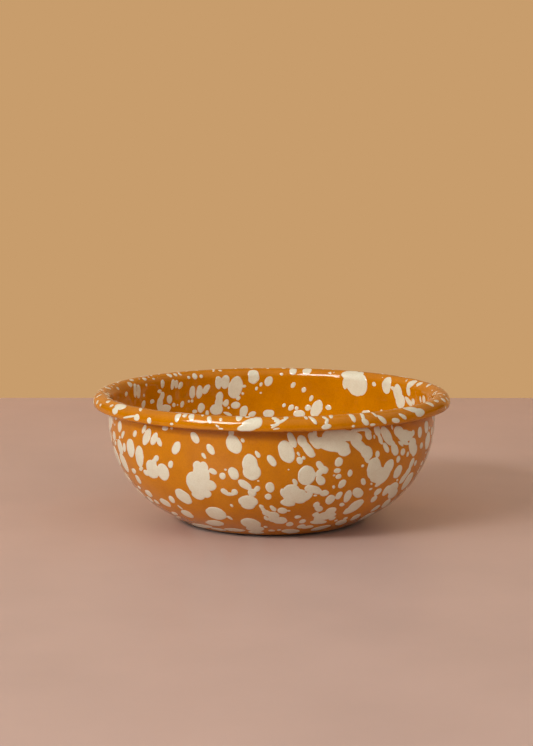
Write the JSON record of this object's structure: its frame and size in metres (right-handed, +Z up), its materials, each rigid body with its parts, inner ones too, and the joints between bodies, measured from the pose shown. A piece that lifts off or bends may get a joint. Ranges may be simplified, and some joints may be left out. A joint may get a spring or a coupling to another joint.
{
  "type": "enamel bowl",
  "caption": "Small enamelled steel bowl with a rolled rim and a pushed-up base, mustard with cream splatter, for holding food.",
  "frame": {"origin": "centre of the standing ring, on the surface that the bowl stands on", "axes": "+Z up along the bowl's axis of revolution; -Y is the side that faces the viewer in the picture, +X is to its right"},
  "size_m": [0.159, 0.1592, 0.0581],
  "materials": {
    "steel_sheet": "satin",
    "ground_enamel": "gloss",
    "mustard_enamel": "gloss",
    "cream_enamel": "gloss"
  },
  "bodies": {
    "root": {"steel_shell": "steel_sheet", "ground_coat_inside": "ground_enamel", "ground_coat_outside": "ground_enamel", "cover_coat_inside": "mustard_enamel", "cover_coat_outside": "mustard_enamel", "spatter_rim": "cream_enamel", "spatter_front_left": "cream_enamel", "spatter_front_right": "cream_enamel", "spatter_back": "cream_enamel", "spatter_inside_back": "cream_enamel", "spatter_inside_front": "cream_enamel"}
  },
  "joints": []
}
